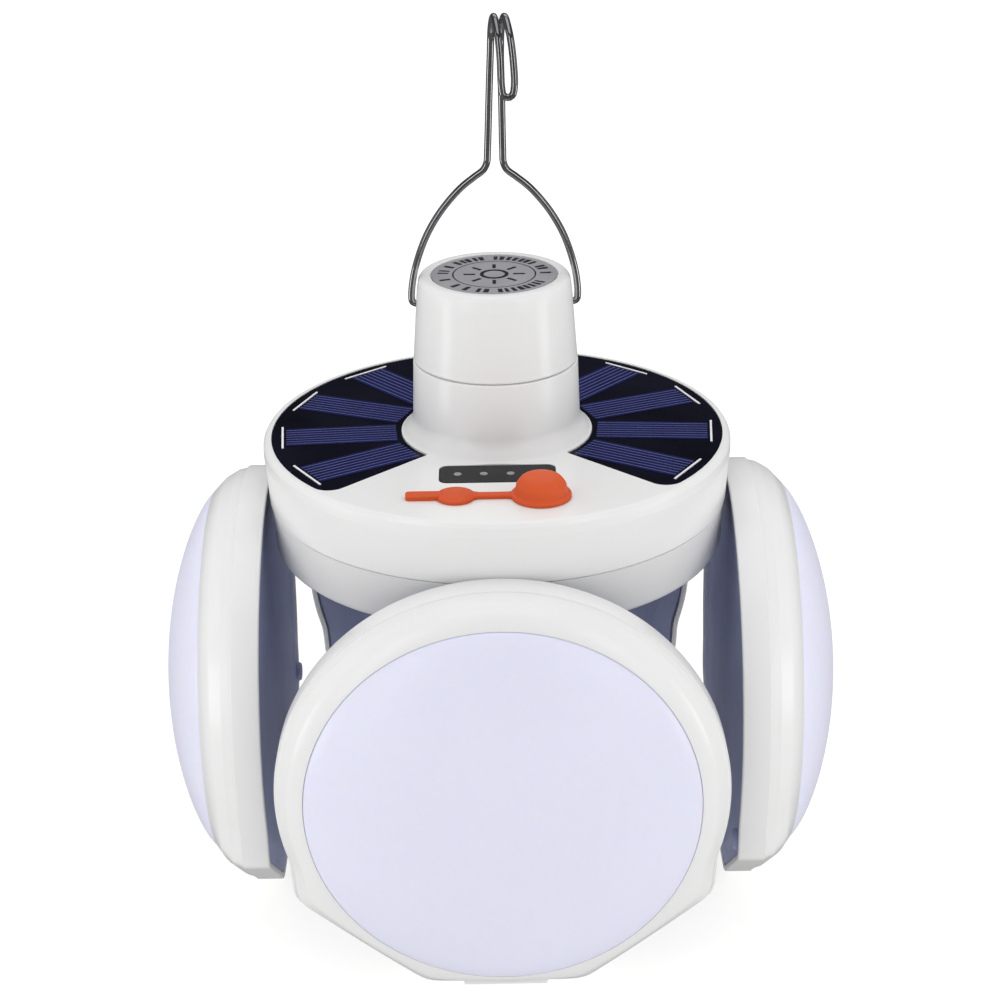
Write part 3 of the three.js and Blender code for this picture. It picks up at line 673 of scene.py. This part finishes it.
def build_panel():
    """The black plate, the cells on it, and one bus bar at the outer end of each cell."""
    low, high = box_mm("solar_panel")
    outline = c_shape(PANEL_INNER_R, PANEL_R, PANEL_GAP_DEG, PANEL_CORNER)
    plate = prism("panel_plate", outline, low.z, high.z + 0.25)
    soften(plate, 0.12)
    place(plate, "housing", "panel_black", "solar_panel")
    bars = []
    for k in range(CELLS):
        degrees = FIRST_CELL_DEG + CELL_STEP_DEG * k
        strip = rounded_box(0, CELL_Y, 9.7, 24.3, 0.2)
        cell = prism(f"cell_{k + 1}", strip, DECK - 0.12, DECK + 0.02)
        soften(cell, 0.03, segments=1)
        cell.rotation_euler.z = math.radians(degrees)
        place(cell, "housing", "solar_cell", f"solar_cell_{k + 1}")
        bar = prism("bar", rounded_box(0, BUS_BAR_Y, 12.2, 0.45, 0.15), DECK - 0.12, DECK + 0.06)
        bars.append(move(bar, turn_z(degrees)))
    merged = bars[0]
    merged.name = "bus_bars"
    combine(merged, bars[1:], "UNION")
    place(merged, "housing", "plated_steel")
    merged.data.materials[0] = RIBBON_LOOK


def build_window():
    low, high = box_mm("indicator_window")
    pane = prism("window_pane", rounded_box(*WINDOW), low.z, high.z + 0.05)
    soften(pane, 0.2, segments=3)
    place(pane, "housing", "smoke_window", "indicator_window")
    for i, x in enumerate(DOTS_X):
        dot = lathe(f"indicator_dot_{i + 1}", fillet([
            (0, high.z - 0.1, 0), (0.85, high.z - 0.1, 0), (0.85, high.z + 0.1, 0.15),
            (0, high.z + 0.2, 0),
        ], closed=False), 40)
        place(move(dot, shift(x, WINDOW[1], 0)), "housing", "smoke_window")
        dot.data.materials[0] = DOT_LOOK


# Charging port and cover -----------------------------------------------------------------------

def build_port():
    low, high = box_mm("charge_port")
    shell = prism("port_socket", rounded_box(PORT_X, PORT_Y, 9, 3.2, 1.5), low.z, high.z)
    hollow = prism("c1", rounded_box(PORT_X, PORT_Y, 8.4, 2.6, 1.2), low.z + 1.5, high.z + 1)
    combine(shell, [hollow], "DIFFERENCE")
    tongue = prism("port_tongue", rounded_box(PORT_X, PORT_Y, 6.4, 0.7, 0.3), low.z + 1.4, high.z - 1)
    soften(shell, 0.08)
    place(shell, "housing", "plated_steel", "charge_port")
    place(tongue, "housing", "black_insulation")


COVER_GAP = 0.03
ANCHOR_X, TAIL_X = -8.7, -14.9
STRAP_FROM, STRAP_TO = -5.1, 3.6
STRAP_STEPS = 36


def build_cover():
    """The anchor with its tail on the deck, the lid over the port, and the strap between them."""
    deck = DECK + COVER_GAP
    anchor = lathe("cover_anchor", fillet([
        (0, deck, 0), (4.1, deck, 0.1), (4.1, deck + 0.7, 0.5), (2.6, deck + 1.3, 1.5),
        (0, deck + 1.45, 0),
    ], closed=False, steps=6), 64)
    move(anchor, shift(ANCHOR_X, PORT_Y, 0))
    tail = prism("c1", rounded_box(TAIL_X, PORT_Y, 8.4, 2.9, 0.9), deck, deck + 0.95)
    combine(anchor, [tail], "UNION")
    soften(anchor, 0.25, 50, 3)
    place(anchor, "housing", "orange_silicone", "port_cover_anchor")

    lid = lathe("cover_lid", fillet([
        (0, deck - 1.2, 0), (3.6, deck - 1.2, 0.3), (3.6, deck, 0), (6.3, deck, 0.15),
        (6.3, deck + 0.85, 0.35), (5.45, deck + 1.05, 0.5), (5.2, deck + 2.9, 1.5),
        (4.0, deck + 4.5, 2), (0, deck + 5.1, 0),
    ], closed=False, steps=8), 72)
    move(lid, shift(PORT_X, PORT_Y, 0))
    place(lid, "port_cover", "orange_silicone", "port_cover")

    layers = []
    for i in range(STRAP_STEPS + 1):
        x = STRAP_FROM + (STRAP_TO - STRAP_FROM) * i / STRAP_STEPS
        at_lid = max(0, 1 - abs(x - STRAP_TO) / 1.5)
        at_anchor = max(0, 1 - abs(x - STRAP_FROM) / 1.2)
        width = 1.1 + 0.5 * at_lid + 0.5 * at_anchor
        section = fillet([(-width, deck, 0.1), (width, deck, 0.1), (width, deck + 0.85, 0.35),
                          (-width, deck + 0.85, 0.35)], steps=3)
        layers.append([(x, PORT_Y + y, z) for y, z in section])
    strap = rings("cover_strap", layers)
    strap.data.materials.append(LOOKS["orange_silicone"])
    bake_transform(strap)


def build_button():
    """The power button, which lies along the lamp's Y at the back of the neck."""
    profile = fillet([
        (0, 13.8, 0), (4.7, 13.8, 0.1), (4.7, 14.7, 0.1), (3.75, 14.7, 0), (3.75, 18.9, 0.5),
        (2.4, 19.1, 0.3), (1.9, 18.9, 0.3), (0, 18.9, 0),
    ], closed=False, steps=5)
    button = move(lathe("button_cap", profile, 64), shift(0, 0, BUTTON_Z) @ turn_x(-90))
    place(button, "power_button", "dark_button", "power_button")


# Pillar and hub --------------------------------------------------------------------------------

LUG_R, LUG_INSIDE, LUG_OUTSIDE = 3.1, 9.5, 12.1
PIN_R = 1.0
PIN_HOLE_R = 1.05
PIN_CUTTER_HALF = 14


def build_pillar():
    profile = fillet([
        (5, PILLAR_LOW, 0), (PILLAR_R, PILLAR_LOW, 0.4), (PILLAR_R, PILLAR_HIGH, 0.4),
        (14.6, PILLAR_HIGH, 0), (14.6, PILLAR_HIGH - 2, 0), (PILLAR_R - 2, PILLAR_HIGH - 2, 0),
        (PILLAR_R - 2, PILLAR_LOW + 6, 0), (5, PILLAR_LOW + 6, 0),
    ])
    pillar = lathe("pillar_shell", profile, 128)
    place(pillar, "housing", "white_shell", "pillar")


def hinge_bar(name, radius, reach, half_from, half_to, round_out):
    """A bar across part of the front leaf's hinge axis, round about it and straight on to reach."""
    out, z = -HINGE.y, HINGE.z
    if round_out:
        outline = arc(out, z, radius, -90, 90, 16) + [(reach, z + radius), (reach, z - radius)]
    else:
        outline = arc(out, z, radius, 90, 270, 16) + [(reach, z - radius), (reach, z + radius)]
    bar = prism(name, outline, half_from, half_to)
    return move(bar, turn_z(-90) @ turn_x(90))


def pin_rod(name, radius, half):
    """A rod along the front leaf's hinge axis, half as long each way."""
    profile = fillet([(0, -half, 0), (radius, -half, 0.2), (radius, half, 0.2), (0, half, 0)],
                     closed=False)
    return move(lathe(name, profile, 32), shift(0, HINGE.y, HINGE.z) @ turn_y(90))


def build_hub():
    """The hub's shell with its hinge lugs, its ring and lens underneath, and the hinge pins."""
    profile = fillet([
        (5, HUB_ROOF - 2, 0), (35.2, HUB_ROOF - 2, 0.5), (36.5, HUB_ROOF - 3.5, 0), (36.5, 1.6, 0),
        (HUB_R, 1.6, 0.2), (HUB_R, HUB_ROOF - 2.4, 1), (36.4, HUB_ROOF, 1.5), (5, HUB_ROOF, 0),
    ], steps=6)
    hub = lathe("hub_shell", profile, 160)
    lugs, holes = [], []
    for degrees in QUARTERS.values():
        for low, high in ((LUG_INSIDE, LUG_OUTSIDE), (-LUG_OUTSIDE, -LUG_INSIDE)):
            lugs.append(move(hinge_bar("c1", LUG_R, 36.8, low, high, True), turn_z(degrees)))
        holes.append(move(pin_rod("c2", PIN_HOLE_R, PIN_CUTTER_HALF), turn_z(degrees)))
    combine(hub, lugs, "UNION")
    combine(hub, holes, "DIFFERENCE")
    soften(hub, 0.22, segments=3)
    place(hub, "housing", "white_shell", "hub_housing")

    ring = lathe("hub_ring", fillet([
        (32, 0, 0.5), (37.4, 0, 0.8), (HUB_R, 1, 0.5), (HUB_R, 1.55, 0.1), (36.2, 1.55, 0),
        (36.2, 3.1, 0), (32, 3.1, 0),
    ], steps=5), 160)
    place(ring, "housing", "white_shell", "hub_bezel")
    lens = lathe("hub_lens", [
        (0, 0.6), (8, 0.72), (16, 1.1), (24, 1.75), (31.6, 2.6), (31.6, 3.2), (35.6, 3.2),
        (35.6, 4.6), (30.4, 4.6), (30.4, 3.9), (16, 2.4), (0, 1.9),
    ], 128)
    place(lens, "housing", "milky_diffuser", "hub_diffuser")
    for name, degrees in QUARTERS.items():
        pin = move(pin_rod(f"pin_{name}", PIN_R, LUG_OUTSIDE), turn_z(degrees))
        place(pin, "housing", "plated_steel", f"hinge_pin_{name}")


def build_screws():
    """Pan heads with a cross recess, in the band's underside."""
    for i, degrees in enumerate(SCREW_DEGS):
        z = BAND_BOTTOM + 1.15
        screw = lathe(f"housing_screw_head_{i + 1}", fillet([
            (0, z - 1.4, 0), (2.2, z - 1.35, 0.8), (2.6, z - 0.6, 0.4), (2.6, z, 0.1), (1.1, z, 0),
            (1.1, z + 12, 0.3), (0, z + 12, 0),
        ], closed=False, steps=5), 40)
        slots = [prism("c1", rounded_box(0, 0, 2.8, 0.6, 0.1), z - 2, z - 0.6),
                 prism("c2", rounded_box(0, 0, 0.6, 2.8, 0.1), z - 2, z - 0.6)]
        combine(screw, slots, "DIFFERENCE")
        x, y = polar(BOSS_OUT, degrees)
        move(screw, shift(x, y, 0))
        place(screw, "housing", "plated_steel", f"housing_screw_{i + 1}")


# Leaves ----------------------------------------------------------------------------------------

LEAF_SAMPLES = 240
LEAF_WALL = 2.8
KNOB_X, KNOB_Y, KNOB_R, KNOB_HEIGHT = -40.6, -21.9, 2.35, 1.3
POST_RING_R = 32
KNUCKLE_R, KNUCKLE_HALF = 2.9, 9.2
KNUCKLE_HOLE_R = 1.08
TAB_Y = -43.1

# (x, y) from the leaf's centre: down the side from the round top, and in to the middle of the foot
LEAF_SIDE = (
    polar(LEAF_R, -18), (45.3, -15.8), (45.15, -20), (44.8, -24.2), (43.9, -25.3), (18.6, -44.8),
    (16.8, -45.7), (0, -45.7),
)


def leaf_radius(degrees):
    """Distance from the leaf's centre to its outline: a round top, upright sides, a flat foot."""
    below = math.degrees(math.asin(math.sin(math.radians(degrees))))
    for (x1, y1), (x2, y2) in zip(LEAF_SIDE, LEAF_SIDE[1:]):
        if math.degrees(math.atan2(y2, x2)) <= below <= math.degrees(math.atan2(y1, x1)):
            ux, uy = polar(1, below)
            return (x1 * (y2 - y1) - y1 * (x2 - x1)) / (ux * (y2 - y1) - uy * (x2 - x1))
    return LEAF_R


def leaf_angles():
    return [360 * i / LEAF_SAMPLES for i in range(LEAF_SAMPLES)]


def smooth_outline():
    """The leaf's radius at each sampled angle, with its corners slightly rounded."""
    raw = [leaf_radius(a) for a in leaf_angles()]
    for _ in range(2):
        raw = [(raw[i - 1] + 2 * raw[i] + raw[(i + 1) % LEAF_SAMPLES]) / 4 for i in range(LEAF_SAMPLES)]
    return raw


OUTLINE = smooth_outline()


def leaf_ring(level, inset=0, share=0, radius=LENS_R + 0.3):
    """A ring at a level along the lens axis.

    It is set in from the outline. A share of 0 keeps the outline, a share of 1 gives a circle of the
    radius about the lens, and a share between them blends the two.
    """
    ring = []
    lens_centre = Vector((0, LENS_UP))
    for degrees, reach in zip(leaf_angles(), OUTLINE):
        edge = Vector(polar(reach, degrees))
        circle = lens_centre + (edge - lens_centre).normalized() * radius
        x, y = (edge * ((LEAF_R - inset) / LEAF_R)).lerp(circle, share)
        ring.append((x, y, level))
    return ring


# Stands a leaf up at its height, facing the front
STAND = shift(0, 0, LEAF_Z) @ turn_x(90)


def build_bezel():
    """The wall, then a front that slopes up from the leaf's outline to the round lens.

    The wall's points are (inset, level) and the slope's are (share, level); see leaf_ring.
    """
    wall = fillet([
        (1.3, LEAF_SEAM, 0), (1.3, LEAF_REAR, 0.15), (0, LEAF_REAR, 0.45), (0, LEAF_STEP, 0.3),
        (0.35, LEAF_STEP + 0.1, 0.1), (0.5, LEAF_STEP + 0.6, 0),
    ], closed=False, steps=4)
    slope = fillet([
        (0.02, LEAF_STEP + 0.8, 0), (0.08, LEAF_FACE - 5.4, 2.5), (0.42, LEAF_FACE - 2.6, 8),
        (1, LEAF_FACE, 0.4),
    ], closed=False, steps=5)
    layers = [leaf_ring(level, inset) for inset, level in wall]
    layers += [leaf_ring(level, 0.5, share) for share, level in slope]
    for radius, level in ((LENS_R + 0.15, LEAF_FACE), (LENS_R + 0.1, LEAF_FACE - 0.2),
                          (LENS_R + 0.1, LEAF_FACE - 1.95), (42.6, LEAF_FACE - 1.95),
                          (42.6, LEAF_STEP)):
        layers.append(leaf_ring(level, 0, 1, radius))
    layers += [leaf_ring(LEAF_STEP, LEAF_WALL), leaf_ring(LEAF_SEAM, LEAF_WALL)]
    return move(rings("bezel", layers, closed=True, sharp_deg=60), STAND)


def build_lens():
    """A shallow dome, steeper at its edge than a spherical cap, on a flange."""
    def dome(radius, rise, steps):
        return [(radius * x, LEAF_FACE + rise * max(y, 0) ** LENS_FULLNESS)
                for x, y in arc(0, 0, 1, 90, 0, steps)[1:]]

    lip = LEAF_FACE - 2
    inner = dome(LENS_R - 1.5, LEAF_APEX - 1.5 - LEAF_FACE, 16)
    outer = dome(LENS_R, LEAF_APEX - LEAF_FACE, 36)
    profile = [(0, LEAF_APEX - 1.5), *inner, (LENS_R - 1.5, lip - 1.5), (42.4, lip - 1.5),
               (42.4, lip), (LENS_R, lip), *outer[::-1], (0, LEAF_APEX)]
    lens = lathe("lens", profile, 144, sharp_deg=50)
    return move(lens, shift(0, 0, LENS_UP) @ STAND)


def build_back():
    """A dished plate in the bezel's rebate, with a low wall, screw posts, a knob and the knuckle."""
    low, top = LEAF_BACK, LEAF_SEAM - 0.1
    outer = fillet([
        (44, low + 0.4, 0), (9, low + 0.4, 2), (6.5, low, 2), (2.0, low, 0.3), (1.5, low + 0.5, 0.3),
        (1.5, top, 0.2), (3.1, top, 0), (3.1, top + 1.2, 0.2), (4.3, top + 1.2, 0.2), (4.3, top, 0),
    ], closed=False, steps=4)
    plate = rings("back", [leaf_ring(level, inset) for inset, level in outer], sharp_deg=40)
    knob = lathe("c1", fillet([
        (0, low - KNOB_HEIGHT, 0), (KNOB_R, low - KNOB_HEIGHT, 0.7), (KNOB_R, low + 1, 0),
        (0, low + 1, 0),
    ], closed=False), 40)
    posts = [move(knob, shift(KNOB_X, KNOB_Y, 0))]
    for degrees in SCREW_DEGS:
        x, y = polar(POST_RING_R, degrees)
        posts.append(upright_rod("c2", 2, top - 0.3, top + 1.5, x, y, 24))
    combine(plate, posts, "UNION", 40)
    move(plate, STAND)
    knuckle = hinge_bar("c3", KNUCKLE_R, low + 0.6, -KNUCKLE_HALF, KNUCKLE_HALF, False)
    combine(plate, [knuckle], "UNION", 40)
    combine(plate, [pin_rod("c4", KNUCKLE_HOLE_R, PIN_CUTTER_HALF)], "DIFFERENCE", 40)
    soften(plate, 0.15, 50, 2)
    return plate


def build_tab():
    """The lens catch at the foot of the bezel."""
    outline = rounded_box(0, TAB_Y, 18, 2.6, 0.5)
    tab = prism("tab", outline, LEAF_FACE - 5.5, LEAF_FACE - 3.4)
    soften(tab, 0.2, segments=3)
    return move(tab, STAND)


def build_leaves():
    """Build each leaf piece once, copy it to the four sides and remove the pattern."""
    patterns = [
        (build_bezel(), "bezel", "white_shell", "bezel"),
        (build_tab(), "tab", "white_shell", None),
        (build_lens(), "lens", "milky_diffuser", "diffuser"),
        (build_back(), "back", "blue_grey_shell", "back"),
    ]
    for side, degrees in QUARTERS.items():
        for pattern, word, slot, node in patterns:
            copy = bpy.data.objects.new(f"{word}_{side}", pattern.data.copy())
            bpy.context.scene.collection.objects.link(copy)
            move(copy, turn_z(degrees))
            nodes = [f"leaf_{side}_{node}"] if node else []
            place(copy, f"leaf_{side}", slot, *nodes)
    for pattern, *_ in patterns:
        bpy.data.objects.remove(pattern)


# Wire hanger -----------------------------------------------------------------------------------

WIRE_R = 0.75
HOOK_SHIFT = 2.5
HANGER_LEAN = 0.019

# The bow from its pivot up: distance to the side, and rise above the pivot
BOW = (
    (14.4, 0), (17.1, 0), (17.75, 0.4), (17.95, 1.6), (17.5, 6), (16.2, 11), (14.4, 15.6),
    (12, 19.8), (9.6, 23), (7, 25.8), (4.4, 27.9), (2.5, 29.4),
)

# The stem and hook: half the gap between the two wires, y, rise above the deck, and shift to the side
HOOK = (
    (1.75, 0, 60.4, 0), (1.6, 0, 63, 0), (1.3, 0, 75, 0), (1.05, -0.3, 84, 0),
    (1.05, -1.8, 89.4, 0.15), (1.1, -5.6, 92.3, 0.7), (1.2, -9.6, 89.6, 1.6),
    (1.3, -11.2, 85, 2.2), (1.3, -11.9, 79.4, HOOK_SHIFT), (0.92, -12, 77.7, HOOK_SHIFT),
)


def leaning(x, y, z):
    """The wire leans a little to one side as it rises from its pivot."""
    return (x + HANGER_LEAN * (z - PIVOT_Z), y, z)


def hanger_side(sign):
    """One side of the wire, from its end in the cap to the closed end of the hook."""
    bow = [leaning(sign * x, 0, PIVOT_Z + rise) for x, rise in BOW]
    hook = [leaning(right + sign * x, y, DECK + rise) for x, y, rise, right in HOOK]
    return bow + hook


def build_hanger():
    tip = leaning(HOOK_SHIFT, -12.1, DECK + 77.2)
    route = [*hanger_side(-1), tip, *hanger_side(1)[::-1]]
    hanger = tube("hanger_wire", wire_path(route, 8), WIRE_R)
    place(hanger, "hanger", "bright_wire", "wire_hanger")


# Stage -----------------------------------------------------------------------------------------

FLOOR_R = 9000
FLOOR_TOP, FLOOR_BOTTOM = -0.02, -8
CAMERA_PLACE = (0.45, -470.1, 297.0)
CAMERA_LENS = 82.41
CAMERA_SENSOR = 36
CAMERA_TILT_DEG = 23.92
CAMERA_ROLL_DEG = 0.95
LIGHT_TARGET = (0, 0, 80)

# Name, place, size (both in millimetres) and power of each area light
LIGHTS = (
    ("key_left", (-560, -640, 420), (240, 700), 0.9),
    ("key_right", (560, -640, 420), (240, 700), 0.8),
    ("strip_left", (-900, -60, 200), (140, 900), 0.3),
    ("strip_right", (900, -60, 200), (140, 900), 0.3),
    ("low_left", (-320, -105, 4), (90, 240), 0.16),
    ("low_right", (320, -105, 4), (90, 240), 0.16),
    ("top", (0, -100, 1100), (900, 900), 1.6),
    ("rear", (0, 700, 1000), (900, 500), 1.0),
)


def by_ray(tree, ray, other, seen):
    """One shader for the rays of a kind that Light Path names, and another for all other rays."""
    path = tree.nodes.new("ShaderNodeLightPath")
    either = tree.nodes.new("ShaderNodeMixShader")
    tree.links.new(path.outputs[ray], either.inputs[0])
    tree.links.new(other, either.inputs[1])
    tree.links.new(seen, either.inputs[2])
    return either.outputs[0]


def floor_paint():
    """Pale paint with a glow that evens it out, and a dim stand-in where it is seen in reflections."""
    paint = surface(
        "floor_paint", (0.3, 0.3, 0.3), (0.32, 0.32, 0.32), 0.8, scale=2, Specular_IOR_Level=0.0,
        Emission_Color=(1, 1, 0.99, 1), Emission_Strength=0.78)
    tree = paint.node_tree
    dim = tree.nodes.new("ShaderNodeEmission")
    dim.inputs["Color"].default_value = (0.14, 0.14, 0.14, 1)
    mixed = by_ray(tree, "Is Glossy Ray", tree.nodes["Principled BSDF"].outputs[0], dim.outputs[0])
    tree.links.new(mixed, tree.nodes["Material Output"].inputs["Surface"])
    return paint


def build_floor():
    floor = rings("floor", [[(*polar(FLOOR_R, a), z) for a in range(0, 360, 5)]
                            for z in (FLOOR_BOTTOM, FLOOR_TOP)])
    floor.data.materials.append(floor_paint())


def build_camera():
    """The photograph's view: from the front and above, with a slight roll."""
    camera = bpy.data.objects.new("camera", bpy.data.cameras.new("camera"))
    camera.data.lens = CAMERA_LENS
    camera.data.sensor_width = CAMERA_SENSOR
    camera.data.clip_end = 50
    camera.location = Vector(CAMERA_PLACE) * MM
    camera.rotation_euler.x = math.radians(90 - CAMERA_TILT_DEG)
    camera.rotation_euler.rotate_axis("Z", math.radians(-CAMERA_ROLL_DEG))
    bpy.context.scene.collection.objects.link(camera)
    bpy.context.scene.camera = camera


def build_lights():
    for name, place_mm, size, power in LIGHTS:
        light = bpy.data.lights.new(name, "AREA")
        light.shape = "RECTANGLE"
        light.size, light.size_y = size[0] * MM, size[1] * MM
        light.energy = power
        lamp = bpy.data.objects.new(name, light)
        lamp.location = Vector(place_mm) * MM
        lamp.visible_camera = False
        aim = Vector(LIGHT_TARGET) * MM - lamp.location
        lamp.rotation_euler = aim.to_track_quat("-Z", "Y").to_euler()
        bpy.context.scene.collection.objects.link(lamp)


def build_world():
    """White surroundings that light the scene evenly, but fall to a half grey in front (-Y).

    The camera sees them as plain white. Reflections see them dim, so that they don't grey the dark
    and glossy pieces.
    """
    world = bpy.data.worlds.new("studio")
    world.use_nodes = True
    bpy.context.scene.world = world
    tree = world.node_tree
    coords = tree.nodes.new("ShaderNodeTexCoord")
    split = tree.nodes.new("ShaderNodeSeparateXYZ")
    tree.links.new(coords.outputs["Generated"], split.inputs[0])
    half = tree.nodes.new("ShaderNodeMath")
    half.operation = "MULTIPLY_ADD"
    half.inputs[1].default_value = 0.5
    half.inputs[2].default_value = 0.5
    tree.links.new(split.outputs["Y"], half.inputs[0])
    ramp = tree.nodes.new("ShaderNodeValToRGB")
    ramp.color_ramp.elements[0].position = 0.0
    ramp.color_ramp.elements[0].color = (0.5, 0.5, 0.51, 1)
    ramp.color_ramp.elements[1].position = 0.55
    ramp.color_ramp.elements[1].color = (1, 1, 1, 1)
    tree.links.new(half.outputs[0], ramp.inputs[0])
    shade = tree.nodes["Background"]
    shade.inputs["Strength"].default_value = 1.02
    tree.links.new(ramp.outputs[0], shade.inputs["Color"])
    pale = tree.nodes.new("ShaderNodeBackground")
    pale.inputs["Color"].default_value = (1, 1, 0.985, 1)
    dim = tree.nodes.new("ShaderNodeBackground")
    dim.inputs["Color"].default_value = (0.08, 0.08, 0.085, 1)
    unseen = by_ray(tree, "Is Glossy Ray", shade.outputs[0], dim.outputs[0])
    mixed = by_ray(tree, "Is Camera Ray", unseen, pale.outputs[0])
    tree.links.new(mixed, tree.nodes["World Output"].inputs["Surface"])
    bpy.context.scene.view_settings.view_transform = "Standard"


build_floor()
build_camera()
build_lights()
build_world()
dress_cad_nodes()
build_top_shell()
build_band()
build_cap()
build_panel()
build_window()
build_port()
build_cover()
build_button()
build_pillar()
build_hub()
build_screws()
build_leaves()
build_hanger()
